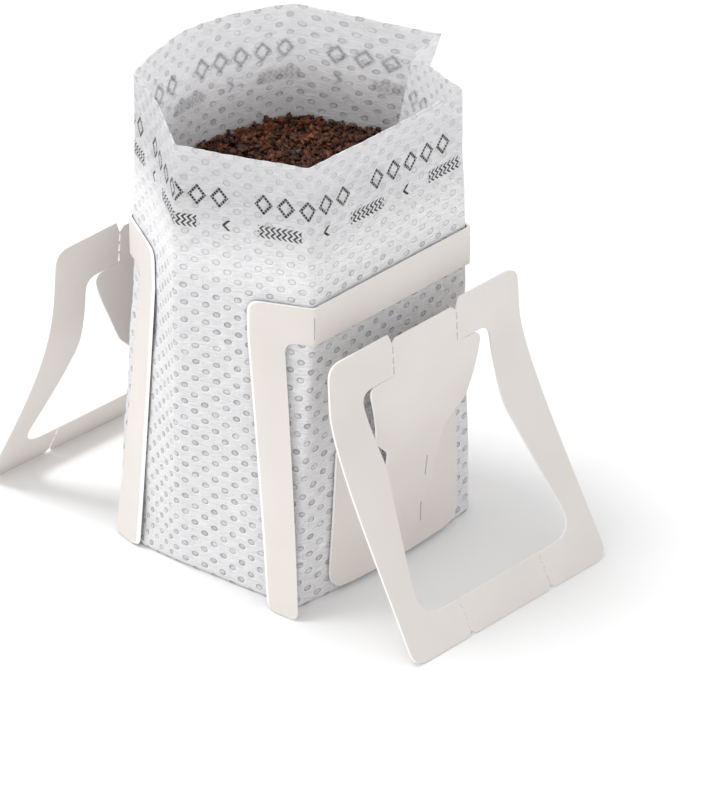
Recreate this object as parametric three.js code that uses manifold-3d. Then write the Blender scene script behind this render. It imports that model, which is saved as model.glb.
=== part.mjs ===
// An opened drip coffee bag: a nonwoven pouch of ground coffee with a folded card and a hanging ear on
// its front and its back. Millimetres, +Z up, the bag's base on z = 0, the front card facing -Y.
import * as THREE from 'three';
import { mergeVertices } from 'three/addons/utils/BufferGeometryUtils.js';
import Module from 'manifold-3d';

const wasm = await Module();
wasm.setup();

// Bag
const rimHeight = 74;
const fabricThickness = 0.4;
const baseRounding = 0.6;
const creaseSoftness = 0.5;
const frontFace = 19;
const backFaceRim = 17.2;
const backFaceBelt = 17.5;
const backFaceBase = 16.2;
const rimHalfPanel = 15.7;
const beltHalfPanel = 15.7;
const baseHalfPanel = 18.9;
const leftFoldReach = 26;
const rightFoldReach = 24.6;
const sideFoldDepth = 1;
const baseHalfWidth = 22.4;
const tuckInset = 7.4;
const tuckDepth = 6.9;
const baseShift = -1.2;
const spoutLean = -0.6;
const panelBulge = 1.3;
const bulgeHeight = 14;
const rearBeltBow = 3;
const rearRimBow = 4.6;

// Coffee
const coffeeLevel = 54;
const coffeeClearance = 0.3;
const coffeeRoughness = 0.55;
const coffeeMound = 1.3;
const moundReach = 30;
const lumpSize = 2.6;

// Cards
const boardThickness = 0.35;
const glueGap = 0.3;
const cardTop = 50.8;
const barHeight = 6.2;
const wingReach = 25.8;
const stripWidth = 5.2;
const stripCorner = 1.5;
const wingCorner = 2;
const wingFillet = 1.8;
const stripFoot = 0.15;
// How far the foot of each side's left strip stands away from the bag
const frontStripFlare = 1.8;
const rearStripFlare = 0.3;
const rearCardShift = -1.4;

// Ear
const earTopHalf = 19.5;
const earFootHalf = 20.4;
const earCorner = 2.5;
const crownDrop = 1.1;
const earHinge = 6.6;
const shoulderHeight = 7.1;
const notchDepth = 0.8;
const openingShoulder = 13.4;
const openingWaist = 12.2;
const waistDrop = 19.6;
const openingFoot = 16.5;
const openingTopCorner = 2.3;
const openingFootCorner = 4;
const footBar = 5.8;
const footNotch = 8.4;

// Tongue and the glued panel it is cut from
const tongueShoulder = 11.6;
const tongueWaist = 9.2;
const tongueWaistDrop = 18.4;
const tongueStep = 3.6;
const tongueCorner = 1.6;
const neckTopHalf = 6;
const neckFootHalf = 4.5;
const neckSlit = 0.3;
const neckFoot = 9.4;
const hornTop = 24.7;
const lobeTop = 21;
const panelFoot = 1;
const panelTopHalf = 12.4;
const panelFootHalf = 13.8;
const panelCorner = 3.5;
const lobeCorner = 2.4;
const hornWidth = 1.8;
const joinInset = 0.5;

// How each ear is pulled out. Its top and its foot stand out from the bag's face and lean by degrees, and
// the two bends are how far each lean holds. The twist draws one foot corner in, the sways drift the ear
// and its neck sideways for each millimetre down, and the panel shift places what is glued.
const frontEarPose = {
  top: 43.9, topOut: 5, topLean: 2.4, topBend: 7.4, footOut: 22.5, footLean: 28, footBend: 16.4,
  twist: 0, shift: 1.6, sway: 0.022, neckSway: 0.025, panelShift: 0.9,
};
const rearEarPose = {
  top: 44.6, topOut: 4.8, topLean: 1, topBend: 10.9, footOut: 17.2, footLean: 22.6, footBend: 17.4,
  twist: -0.047, shift: -5.1, sway: -0.053, neckSway: 0, panelShift: -3.4,
};

// Fineness
const creaseSteps = 4;
const frameBends = 8;
const neckBends = 10;
const curveSteps = 3;
const coffeeRings = 11;

const radians = THREE.MathUtils.degToRad;
const mix = THREE.MathUtils.lerp;

// Corners of the open bag seen from above, anticlockwise from the left fold, at the rim, at the cards'
// belt and at the base
const bagCorners = [
  { rim: [-leftFoldReach + 0.8, -sideFoldDepth], belt: [-leftFoldReach, -sideFoldDepth],
    base: [baseShift - baseHalfWidth + 0.7, 2.7] },
  { rim: [spoutLean - rimHalfPanel, -frontFace], belt: [-beltHalfPanel, -frontFace],
    base: [baseShift - baseHalfPanel + 0.8, -frontFace + 0.2] },
  { rim: [spoutLean + rimHalfPanel, -frontFace], belt: [beltHalfPanel, -frontFace],
    base: [baseShift + baseHalfPanel, -frontFace + 0.4] },
  { rim: [rightFoldReach - tuckInset, -tuckDepth], belt: [rightFoldReach - 5.9, -tuckDepth + 6.2],
    base: [baseShift + baseHalfPanel + 1.1, -4] },
  { rim: [rightFoldReach, -tuckDepth + 1.4], belt: [rightFoldReach - 0.5, -tuckDepth + 9.5],
    base: [baseShift + baseHalfPanel + 1.4, 3] },
  { rim: [rimHalfPanel, backFaceRim - 1], belt: [beltHalfPanel + 0.4, backFaceBelt],
    base: [baseShift + baseHalfPanel - 1, backFaceBase] },
  { rim: [-rimHalfPanel + 0.6, backFaceRim + 1], belt: [-beltHalfPanel - 0.6, backFaceBelt],
    base: [baseShift - baseHalfWidth + 1, backFaceBase - 0.6] },
  { rim: [-leftFoldReach + 7.4, 9.6], belt: [-leftFoldReach + 5.3, 8.2],
    base: [baseShift - baseHalfWidth, 9] },
];
const front = {
  facing: -1, left: 1, right: 2, beyondLeft: -1, beyondRight: 1,
  beltBow: 0, rimBow: 0, cardShift: 0, stripFlare: frontStripFlare,
};
const rear = {
  facing: 1, left: 6, right: 5, beyondLeft: 1, beyondRight: -1,
  beltBow: rearBeltBow, rimBow: rearRimBow, cardShift: rearCardShift, stripFlare: rearStripFlare,
};

// The bag's outline at a height, moved outwards by an offset with mitred corners
function outlineAt(height, offset) {
  const beltFoot = cardTop - barHeight;
  const low = THREE.MathUtils.clamp(height / beltFoot, 0, 1);
  const high = THREE.MathUtils.clamp((height - cardTop) / (rimHeight - cardTop), 0, 1);
  const points = bagCorners.map(({ rim, belt, base }) => {
    const x = mix(mix(base[0], belt[0], low), rim[0], high);
    const y = mix(mix(base[1], belt[1], low), rim[1], high);
    return new THREE.Vector2(x, y);
  });
  const outward = points.map((point, i) => {
    const edge = points[(i + 1) % points.length].clone().sub(point).normalize();
    return new THREE.Vector2(edge.y, -edge.x);
  });
  return points.map((point, i) => {
    const before = outward[(i + points.length - 1) % points.length];
    const mitre = before.clone().add(outward[i]);
    return point.clone().addScaledVector(mitre, (2 * offset) / mitre.lengthSq());
  });
}

// The filled bag's panels bulge below the cards' bar, and the open mouth bows the back panel
function bulgeAt(side, share, height) {
  if (!side) return 0;
  const beltFoot = cardTop - barHeight;
  const fill = THREE.MathUtils.clamp((beltFoot - height) / (beltFoot - bulgeHeight), 0, 1);
  const low = THREE.MathUtils.clamp(height / beltFoot, 0, 1);
  const mouth = THREE.MathUtils.clamp((height - cardTop) / (rimHeight - cardTop), 0, 1);
  const bow = side.beltBow * low + (side.rimBow - side.beltBow) * mouth;
  return side.facing * (panelBulge * fill + bow) * Math.sin(Math.PI * share);
}

// A place on the bag's wall, a signed distance along the wall from the middle of one side's panel
function onWall(side, across, height, offset) {
  const outline = outlineAt(height, offset);
  const left = outline[side.left];
  const right = outline[side.right];
  const half = left.distanceTo(right) / 2;
  if (Math.abs(across) <= half) {
    const share = 0.5 + across / (2 * half);
    const place = left.clone().lerp(right, share);
    place.y += bulgeAt(side, share, height);
    return place;
  }
  const start = across < 0 ? side.left : side.right;
  const step = across < 0 ? side.beyondLeft : side.beyondRight;
  const from = outline[start];
  const to = outline[(start + step + outline.length) % outline.length];
  return from.clone().lerp(to, (Math.abs(across) - half) / from.distanceTo(to));
}

// The outline with each corner softened and each edge divided
function wallRing(height, offset) {
  const outline = outlineAt(height, offset);
  return outline.flatMap((point, i) => {
    const next = outline[(i + 1) % outline.length];
    const soft = creaseSoftness / point.distanceTo(next);
    const side = [front, rear].find(({ left, right }) => i === Math.min(left, right));
    const steps = Array.from({ length: creaseSteps + 1 }, (_, k) => mix(soft, 1 - soft, k / creaseSteps));
    return steps.map((t) => {
      const { x, y } = point.clone().lerp(next, t);
      return new THREE.Vector3(x, y + bulgeAt(side, t, height), height);
    });
  });
}

// A closed surface through rings of points, with a fan over its first and its last ring
function loftGeometry(rings, firstCentre, lastCentre) {
  const count = rings[0].length;
  const positions = rings.flat().concat(firstCentre, lastCentre).flatMap((p) => [p.x, p.y, p.z]);
  const index = [];
  rings.slice(1).forEach((_, row) => {
    for (let i = 0; i < count; i += 1) {
      const a = row * count + i;
      const b = row * count + ((i + 1) % count);
      index.push(a, b, b + count, a, b + count, a + count);
    }
  });
  const last = (rings.length - 1) * count;
  for (let i = 0; i < count; i += 1) {
    const next = (i + 1) % count;
    index.push(rings.length * count, next, i);
    index.push(rings.length * count + 1, last + i, last + next);
  }
  const geometry = new THREE.BufferGeometry();
  geometry.setAttribute('position', new THREE.Float32BufferAttribute(positions, 3));
  geometry.setIndex(index);
  geometry.computeVertexNormals();
  return geometry;
}

// Heights of the wall's rings up to the cards' top
function beltHeights() {
  const lower = [0, 0.25, 0.5, 0.75, 1].map((t) => mix(baseRounding, cardTop - barHeight, t));
  return [...lower, cardTop];
}

function bagGeometry() {
  const upper = [0.14, 0.4, 0.7, 1].map((t) => mix(cardTop, rimHeight, t));
  const heights = [...beltHeights(), ...upper];
  const outer = [wallRing(0, -baseRounding / 2), ...heights.map((z) => wallRing(z, 0))];
  outer[0].forEach((p) => { p.z = 0; });
  const inner = heights.map((z) => wallRing(z, -fabricThickness)).reverse();
  const floor = wallRing(fabricThickness, -fabricThickness - baseRounding / 2);
  const middle = new THREE.Vector3(baseShift, 0, 0);
  return loftGeometry([...outer, ...inner, floor], middle, middle.clone().setZ(fabricThickness));
}

// Loose lumps on the coffee, the same on each run
function coffeeHeight(x, y) {
  const lump = 2 * Math.PI / lumpSize;
  const waves = Math.sin(x * lump + 1.3 * Math.sin(y * lump * 0.7))
    * Math.cos(y * lump * 0.9 + 1.7 * Math.cos(x * lump * 0.6));
  const mound = Math.cos(x / moundReach * 1.8) * Math.cos(y / moundReach * 1.5);
  return coffeeLevel + coffeeRoughness * waves + coffeeMound * mound;
}

function coffeeGeometry() {
  const inset = fabricThickness + coffeeClearance;
  const floor = inset;
  const heights = [...beltHeights(), coffeeLevel - coffeeRoughness];
  const bottom = wallRing(floor, -inset - baseRounding / 2);
  const sides = heights.map((z) => wallRing(z, -inset));
  const brim = sides[sides.length - 1];
  const middle = new THREE.Vector3();
  const top = Array.from({ length: coffeeRings }, (_, k) => brim.map((edge) => {
    const point = edge.clone().lerp(middle.clone().setZ(edge.z), (k + 1) / (coffeeRings + 1));
    return point.setZ(coffeeHeight(point.x, point.y));
  }));
  const crown = middle.clone().setZ(coffeeHeight(0, 0));
  return loftGeometry([bottom, ...sides, ...top], new THREE.Vector3(baseShift, 0, floor), crown);
}

// A flat outline from corners [across, down, radius], each rounded by its radius
function roundedOutline(corners, Kind = THREE.Shape) {
  const outline = new Kind();
  corners.forEach(([x, y, radius = 0], i) => {
    const corner = new THREE.Vector2(x, y);
    const before = new THREE.Vector2(...corners.at(i - 1).slice(0, 2)).sub(corner);
    const after = new THREE.Vector2(...corners[(i + 1) % corners.length].slice(0, 2)).sub(corner);
    const halfTurn = Math.acos(before.clone().normalize().dot(after.clone().normalize())) / 2;
    const room = Math.min(before.length(), after.length()) / 2.05;
    const cut = Math.min(radius / Math.tan(halfTurn), room);
    const entry = corner.clone().addScaledVector(before.normalize(), cut);
    const exit = corner.clone().addScaledVector(after.normalize(), cut);
    if (i === 0) outline.moveTo(entry.x, entry.y);
    else outline.lineTo(entry.x, entry.y);
    if (cut > 0) outline.quadraticCurveTo(x, y, exit.x, exit.y);
  });
  outline.closePath();
  return outline;
}

const mirrored = (half) => half.concat(half.map(([x, y, radius]) => [-x, y, radius]).reverse());

// Splits every triangle that crosses a plane across one axis, so that the board can bend there
function splitAt(triangles, axis, place) {
  const cut = (from, to) => {
    const [a, b] = from[axis] < to[axis] ? [from, to] : [to, from];
    const point = a.clone().lerp(b, (place - a[axis]) / (b[axis] - a[axis]));
    point[axis] = place;
    return point;
  };
  return triangles.flatMap((triangle) => {
    const side = triangle.map((p) => Math.sign(Math.abs(p[axis] - place) < 1e-6 ? 0 : p[axis] - place));
    if (!side.includes(1) || !side.includes(-1)) return [triangle];
    const pivot = [0, 1, 2].find((i) => side[i] === 0) ?? [0, 1, 2].find(
      (i) => side[(i + 1) % 3] === side[(i + 2) % 3]);
    const [a, b, c] = [0, 1, 2].map((i) => triangle[(pivot + i) % 3]);
    if (side[pivot] === 0) {
      const m = cut(b, c);
      return [[a, b, m], [a, m, c]];
    }
    const m = cut(a, b);
    const n = cut(a, c);
    return [[a, m, n], [m, b, c], [m, c, n]];
  });
}

// Board of a flat shape, creased at the given places and folded by a function of (across, down, raised)
function foldedBoard(shape, creases, fold) {
  const flat = new THREE.ExtrudeGeometry(shape, {
    depth: boardThickness, bevelEnabled: false, curveSegments: curveSteps,
  });
  const place = flat.getAttribute('position');
  let triangles = [];
  for (let i = 0; i < place.count; i += 3) {
    triangles.push([0, 1, 2].map((k) => new THREE.Vector3().fromBufferAttribute(place, i + k)));
  }
  creases.forEach(([axis, where]) => { triangles = splitAt(triangles, axis, where); });
  const points = triangles.flat().map((p) => fold(p.x, p.y, p.z));
  const folded = new THREE.BufferGeometry();
  folded.setAttribute('position', new THREE.Float32BufferAttribute(points.flatMap((p) => p.toArray()), 3));
  return mergeVertices(folded, 1e-4);
}

function toSolid(geometry) {
  const vertProperties = new Float32Array(geometry.getAttribute('position').array);
  const triVerts = new Uint32Array(geometry.index.array);
  const volume = new wasm.Mesh({ numProp: 3, vertProperties, triVerts });
  volume.merge();
  return new wasm.Manifold(volume);
}

// Turns a geometry inside out where folding has mirrored it
function facingOut(geometry) {
  const place = geometry.getAttribute('position');
  const index = geometry.index.array;
  const corner = (i) => new THREE.Vector3().fromBufferAttribute(place, index[i]);
  let volume = 0;
  for (let i = 0; i < index.length; i += 3) {
    volume += corner(i).dot(corner(i + 1).cross(corner(i + 2)));
  }
  if (volume < 0) index.reverse();
  return geometry;
}

function joined(first, second) {
  const { vertProperties, triVerts, numProp } = toSolid(first).add(toSolid(second)).getMesh();
  const geometry = new THREE.BufferGeometry();
  const positions = Array.from({ length: vertProperties.length / numProp }, (_, i) => i * numProp)
    .flatMap((i) => [vertProperties[i], vertProperties[i + 1], vertProperties[i + 2]]);
  geometry.setAttribute('position', new THREE.Float32BufferAttribute(positions, 3));
  geometry.setIndex(Array.from(triVerts));
  return geometry;
}

const bends = (from, to, count) => (
  Array.from({ length: count + 1 }, (_, i) => ['y', mix(from, to, i / count)]));

// The card that stiffens one side: a bar under the rim with a wing down each flank of the bag
function stiffenerGeometry(side) {
  const foot = cardTop - stripFoot;
  const shape = roundedOutline(mirrored([
    [wingReach, 0, wingCorner],
    [wingReach, foot, stripCorner],
    [wingReach - stripWidth, foot, stripCorner],
    [wingReach - stripWidth, barHeight, wingFillet],
  ]));
  const outline = outlineAt(cardTop, glueGap);
  const half = outline[side.left].distanceTo(outline[side.right]) / 2;
  const levels = beltHeights().map((height) => ['y', cardTop - height]);
  const folds = [-1, -0.5, 0, 0.5, 1].map((share) => ['x', share * half - side.cardShift]);
  const creases = [...folds, ...levels];
  return facingOut(foldedBoard(shape, creases, (across, down, raised) => {
    const height = cardTop - down;
    const flare = across < 0 ? side.stripFlare * Math.max(1 - height / (cardTop - barHeight), 0) : 0;
    const { x, y } = onWall(side, across + side.cardShift, height, glueGap + flare + raised);
    return new THREE.Vector3(x, y, height);
  }));
}

// The section of a pulled-out ear below its hinge: x is the distance out from the face, y the height
function earSection(pose) {
  const topLean = radians(pose.topLean);
  const footLean = radians(pose.footLean);
  const hingeFoot = new THREE.Vector2(
    pose.topOut + shoulderHeight * Math.sin(topLean), pose.top - shoulderHeight * Math.cos(topLean));
  const curve = new THREE.CubicBezierCurve(
    hingeFoot,
    new THREE.Vector2(Math.sin(topLean), -Math.cos(topLean)).multiplyScalar(pose.topBend).add(hingeFoot),
    new THREE.Vector2(
      pose.footOut - pose.footBend * Math.sin(footLean), pose.footBend * Math.cos(footLean)),
    new THREE.Vector2(pose.footOut, 0),
  );
  return { topLean, hingeFoot, curve, foot: shoulderHeight + curve.getLength() };
}

// The tongue starts in line with the frame and swings back to the bag at the foot of its neck
function neckSection({ topLean, hingeFoot }, side) {
  const wall = Math.abs(onWall(side, 0, neckFoot, glueGap).y) - Math.abs(onWall(side, 0, cardTop, 0).y);
  const reach = (hingeFoot.y - neckFoot) / 2.4;
  return new THREE.CubicBezierCurve(
    hingeFoot,
    new THREE.Vector2(Math.sin(topLean), -Math.cos(topLean)).multiplyScalar(reach).add(hingeFoot),
    new THREE.Vector2(wall, neckFoot + reach),
    new THREE.Vector2(wall, neckFoot),
  );
}

// A place on a section: straight down to the hinge's foot, then a share of the way along the curve
function sectionPlace({ topLean, hingeFoot }, curve, down, share, raised) {
  if (down <= shoulderHeight) {
    const above = shoulderHeight - down;
    return {
      out: hingeFoot.x - above * Math.sin(topLean) + raised * Math.cos(topLean),
      height: hingeFoot.y + above * Math.cos(topLean) + raised * Math.sin(topLean),
    };
  }
  const point = curve.getPointAt(Math.min(share, 1));
  const tangent = curve.getTangentAt(Math.min(share, 1));
  return { out: point.x - raised * tangent.y, height: point.y + raised * tangent.x };
}

function frameShape(foot) {
  const shape = roundedOutline(mirrored([
    [earHinge - notchDepth, crownDrop],
    [earHinge, crownDrop + notchDepth],
    [earHinge + notchDepth, 0],
    [earTopHalf, 0, earCorner],
    [earFootHalf, foot, earCorner],
    [footNotch + notchDepth, foot],
    [footNotch, foot - notchDepth],
    [footNotch - notchDepth, foot],
  ]));
  shape.holes.push(roundedOutline(mirrored([
    [openingShoulder, shoulderHeight, openingTopCorner],
    [openingWaist, waistDrop, openingWaist],
    [openingFoot, foot - footBar, openingFootCorner],
  ]), THREE.Path));
  return shape;
}

const tongueShape = (neckEnd) => roundedOutline(mirrored([
  [earHinge - joinInset, shoulderHeight - joinInset],
  [earHinge - joinInset, shoulderHeight + joinInset],
  [tongueShoulder, shoulderHeight + joinInset, tongueCorner],
  [tongueWaist, tongueWaistDrop, tongueCorner],
  [neckTopHalf, tongueWaistDrop + tongueStep, lobeCorner],
  [neckFootHalf, neckEnd + joinInset],
]));

// The glued panel, with a lobe each side of the slot that the neck leaves
function panelShape(slot, dropTo) {
  const lobe = (hand) => [
    [slot + hand * (neckFootHalf + neckSlit), dropTo(neckFoot)],
    [slot + hand * (neckTopHalf + neckSlit), dropTo(lobeTop), lobeCorner],
    [hand * (panelTopHalf - hornWidth), dropTo(lobeTop) - hornWidth / 2, lobeCorner / 2],
    [hand * (panelTopHalf - hornWidth), dropTo(hornTop), hornWidth / 3],
    [hand * panelTopHalf, dropTo(hornTop), hornWidth / 3],
    [hand * panelFootHalf, dropTo(panelFoot), panelCorner],
  ];
  return roundedOutline([...lobe(1), ...lobe(-1).reverse()]);
}

function earGeometry(side, pose) {
  const face = Math.abs(onWall(side, 0, cardTop, 0).y);
  const section = earSection(pose);
  const neck = neckSection(section, side);
  const dropTo = (height) => pose.top - height;
  const neckEnd = dropTo(neckFoot);
  const neckShift = pose.shift + pose.neckSway * neckEnd;
  const onFace = (shift) => (across, down, raised) => {
    const { x, y } = onWall(side, across + shift, dropTo(down), glueGap + raised);
    return new THREE.Vector3(x, y, dropTo(down));
  };

  const framePoint = (across, down, raised) => {
    const share = (down - shoulderHeight) / (section.foot - shoulderHeight);
    const { out, height } = sectionPlace(section, section.curve, down, share, raised);
    const twisted = out + pose.twist * across * Math.max(share, 0) ** 2;
    const x = across + pose.shift + pose.sway * down;
    return new THREE.Vector3(x, side.facing * (face + twisted), height);
  };
  const tonguePoint = (across, down, raised) => {
    if (down > neckEnd) return onFace(neckShift)(across, down, raised);
    const share = (down - shoulderHeight) / (neckEnd - shoulderHeight);
    const { out, height } = sectionPlace(section, neck, down, share, raised);
    const freed = THREE.MathUtils.clamp(down / shoulderHeight - 1, 0, 1);
    const x = across + pose.shift + mix(pose.sway, pose.neckSway, freed) * down;
    return new THREE.Vector3(x, side.facing * (face + out), height);
  };

  const frameCreases = bends(shoulderHeight, section.foot, frameBends);
  const neckCreases = bends(shoulderHeight, neckEnd, neckBends);
  const panelCreases = [
    ...beltHeights().map((height) => ['y', dropTo(height)]),
    ...[-panelTopHalf, 0, panelTopHalf].map((across) => ['x', across]),
  ];
  const parts = [
    foldedBoard(frameShape(section.foot), frameCreases, framePoint),
    foldedBoard(tongueShape(neckEnd), neckCreases, tonguePoint),
    foldedBoard(panelShape(neckShift - pose.panelShift, dropTo), panelCreases, onFace(pose.panelShift)),
  ];
  return parts.map(facingOut).reduce(joined);
}

const finishes = {
  fabric: { color: 0xe6e6ea, roughness: 0.9, metalness: 0 },
  coffee: { color: 0x2c1609, roughness: 0.8, metalness: 0 },
  card: { color: 0xe2ded8, roughness: 0.6, metalness: 0 },
};

function piece(name, geometry, finish) {
  const mesh = new THREE.Mesh(geometry, new THREE.MeshStandardMaterial(finish));
  mesh.name = name;
  return mesh;
}

const dripBag = new THREE.Group();
dripBag.add(
  piece('filter_bag', bagGeometry(), finishes.fabric),
  piece('ground_coffee', coffeeGeometry(), finishes.coffee),
  piece('front_stiffener_card', stiffenerGeometry(front), finishes.card),
  piece('front_ear_card', earGeometry(front, frontEarPose), finishes.card),
  piece('rear_stiffener_card', stiffenerGeometry(rear), finishes.card),
  piece('rear_ear_card', earGeometry(rear, rearEarPose), finishes.card),
);

export default dripBag;
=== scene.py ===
# Looks of an opened drip coffee bag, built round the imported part. Lengths below are millimetres.
import math

import bmesh
import bpy
import numpy as np
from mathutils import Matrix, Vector, noise


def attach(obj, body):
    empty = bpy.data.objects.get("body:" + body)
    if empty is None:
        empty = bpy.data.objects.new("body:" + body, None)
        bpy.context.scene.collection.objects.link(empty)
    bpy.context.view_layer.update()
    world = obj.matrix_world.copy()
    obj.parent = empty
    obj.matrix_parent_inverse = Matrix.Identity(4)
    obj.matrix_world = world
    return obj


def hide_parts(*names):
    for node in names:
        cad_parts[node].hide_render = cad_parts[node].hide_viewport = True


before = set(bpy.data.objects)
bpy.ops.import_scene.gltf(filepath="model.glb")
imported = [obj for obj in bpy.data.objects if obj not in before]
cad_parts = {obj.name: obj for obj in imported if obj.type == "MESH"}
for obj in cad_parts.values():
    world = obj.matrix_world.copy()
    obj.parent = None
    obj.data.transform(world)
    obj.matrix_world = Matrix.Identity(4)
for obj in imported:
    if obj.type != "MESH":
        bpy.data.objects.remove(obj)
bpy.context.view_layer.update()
rng = np.random.default_rng(7)  # seeded, so the coffee is scattered alike in each run
millimetre = 0.001
uvScale = 0.01  # texture units in a millimetre
print("frame loaded")


# Shared helpers

def clamp(value, low=0.0, high=1.0):
    return max(low, min(high, value))


def mix(a, b, share):
    return a + (b - a) * share


def softStep(low, high, value):
    share = clamp((value - low) / (high - low))
    return share * share * (3 - 2 * share)


def wander(x, y, z, scale):
    return noise.noise(Vector((x / scale, y / scale, z / scale)))


def meshObject(name, vertices, faces, uvs=None, smooth=True, sharpAngle=None):
    mesh = bpy.data.meshes.new(name)
    mesh.from_pydata([tuple(millimetre * c for c in v) for v in vertices], [], faces)
    if uvs is not None:
        layer = mesh.uv_layers.new(name="flat")
        loops = np.empty(len(mesh.loops), dtype=np.int64)
        mesh.loops.foreach_get("vertex_index", loops)
        layer.data.foreach_set("uv", (np.asarray(uvs, dtype=float)[loops] * uvScale).ravel())
    mesh.polygons.foreach_set("use_smooth", [smooth] * len(mesh.polygons))
    if sharpAngle:
        mesh.set_sharp_from_angle(angle=math.radians(sharpAngle))
    mesh.update()
    thing = bpy.data.objects.new(name, mesh)
    bpy.context.scene.collection.objects.link(thing)
    return thing


# Shader helpers

def newMaterial(name):
    material = bpy.data.materials.new(name)
    material.use_nodes = True
    tree = material.node_tree
    tree.nodes.clear()
    shader = tree.nodes.new("ShaderNodeBsdfPrincipled")
    output = tree.nodes.new("ShaderNodeOutputMaterial")
    tree.links.new(shader.outputs[0], output.inputs["Surface"])
    return material, tree, shader, output


def feed(tree, value, socket):
    if isinstance(value, bpy.types.NodeSocket):
        tree.links.new(value, socket)
    else:
        socket.default_value = value


def calc(tree, operation, *values):
    node = tree.nodes.new("ShaderNodeMath")
    node.operation = operation
    for value, socket in zip(values, node.inputs):
        feed(tree, value, socket)
    return node.outputs[0]


def ramp(tree, value, low, high, start=0.0, end=1.0):
    node = tree.nodes.new("ShaderNodeMapRange")
    node.interpolation_type = "SMOOTHSTEP"
    settings = {"Value": value, "From Min": low, "From Max": high, "To Min": start, "To Max": end}
    for name, item in settings.items():
        feed(tree, item, node.inputs[name])
    return node.outputs[0]


def blendColour(tree, share, first, second):
    node = tree.nodes.new("ShaderNodeMix")
    node.data_type = "RGBA"
    feed(tree, share, node.inputs["Factor"])
    feed(tree, first, node.inputs[6])
    feed(tree, second, node.inputs[7])
    return node.outputs[2]


def noiseValue(tree, vector, scale, detail=2.0):
    node = tree.nodes.new("ShaderNodeTexNoise")
    tree.links.new(vector, node.inputs["Vector"])
    node.inputs["Scale"].default_value = scale
    node.inputs["Detail"].default_value = detail
    return node.outputs[0]


def bump(tree, height, strength, distance):
    node = tree.nodes.new("ShaderNodeBump")
    node.inputs["Strength"].default_value = strength
    node.inputs["Distance"].default_value = distance
    feed(tree, height, node.inputs["Height"])
    return node.outputs[0]


def effectGroup(name, inputs, outputs):
    group = bpy.data.node_groups.new(name, "ShaderNodeTree")
    for socket, kind in inputs:
        group.interface.new_socket(socket, in_out="INPUT", socket_type=kind)
    for socket, kind in outputs:
        group.interface.new_socket(socket, in_out="OUTPUT", socket_type=kind)
    return group, group.nodes.new("NodeGroupInput"), group.nodes.new("NodeGroupOutput")


def useGroup(tree, group, **values):
    node = tree.nodes.new("ShaderNodeGroup")
    node.node_tree = group
    for name, value in values.items():
        feed(tree, value, node.inputs[name])
    return node.outputs


# Flat place in millimetres: along the wall or across a card, and up or down it
def flatPlace(tree):
    uv = tree.nodes.new("ShaderNodeUVMap")
    uv.uv_map = "flat"
    split = tree.nodes.new("ShaderNodeSeparateXYZ")
    tree.links.new(uv.outputs[0], split.inputs[0])
    across = calc(tree, "MULTIPLY", split.outputs[0], 1 / uvScale)
    along = calc(tree, "MULTIPLY", split.outputs[1], 1 / uvScale)
    return uv.outputs[0], across, along


# Bag

bag = {
    "rimHeight": 74.0,
    "cardTop": 50.8,
    "barHeight": 6.2,
    "bulge": 1.3,
    "bulgeHeight": 14.0,
    "rearBeltBow": 3.0,
    "rearRimBow": 4.6,
    "wall": 0.22,
    "creaseSoftness": 0.7,
    "creaseEasing": 0.1,
    "ripple": 0.3,
    "rippleSize": 11.0,
    "rippleUnderCards": 0.25,  # share of the ripple left there
    "rippleFree": (1.0, 8.0),  # it grows back over this stretch above the cards
    "fineRipple": 0.09,
    "fineRippleSize": 4.0,
    "fineRippleSeed": 40.0,
    "settleHeight": 3.0,
    "footRounding": 0.6,
    "footTuck": 0.6,
    "tear": ((0.14, 3.0, 1.3), (0.2, 9.0, 6.0)),  # depth, seed and size of its two waves
    "tearReach": 3.0,
    "middle": (-0.5, -1.0),
    "rowStep": 0.8,
    "columnStep": 0.6,
}

# Seen from above, anticlockwise from the left fold: at the rim, at the cards and at the base
bagCorners = np.array([
    [[-25.2, -1.0], [-26.0, -1.0], [-22.9, 2.7]],
    [[-16.3, -19.0], [-15.7, -19.0], [-19.3, -18.8]],
    [[15.1, -19.0], [15.7, -19.0], [17.7, -18.6]],
    [[17.2, -6.9], [18.7, -0.7], [18.8, -4.0]],
    [[24.6, -5.5], [24.1, 2.6], [19.1, 3.0]],
    [[15.7, 16.2], [16.1, 17.5], [16.7, 16.2]],
    [[-15.1, 18.2], [-16.3, 17.5], [-22.6, 15.6]],
    [[-18.6, 9.6], [-20.7, 8.2], [-23.6, 9.0]],
])
front = {"facing": -1, "left": 1, "right": 2, "beyondLeft": -1, "beyondRight": 1,
         "beltBow": 0.0, "rimBow": 0.0, "shift": 0.0, "flare": 1.8}
rear = {"facing": 1, "left": 6, "right": 5, "beyondLeft": 1, "beyondRight": -1,
        "beltBow": bag["rearBeltBow"], "rimBow": bag["rearRimBow"], "shift": -1.4, "flare": 0.3}
beltFoot = bag["cardTop"] - bag["barHeight"]


def outlineAt(height, offset):
    low = clamp(height / beltFoot)
    high = clamp((height - bag["cardTop"]) / (bag["rimHeight"] - bag["cardTop"]))
    rim, belt, base = bagCorners[:, 0], bagCorners[:, 1], bagCorners[:, 2]
    points = mix(mix(base, belt, low), rim, high)
    edges = np.roll(points, -1, axis=0) - points
    edges /= np.linalg.norm(edges, axis=1)[:, None]
    outward = np.stack([edges[:, 1], -edges[:, 0]], axis=1)
    mitre = outward + np.roll(outward, 1, axis=0)
    return points + mitre * (2 * offset / (mitre ** 2).sum(axis=1))[:, None]


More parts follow.
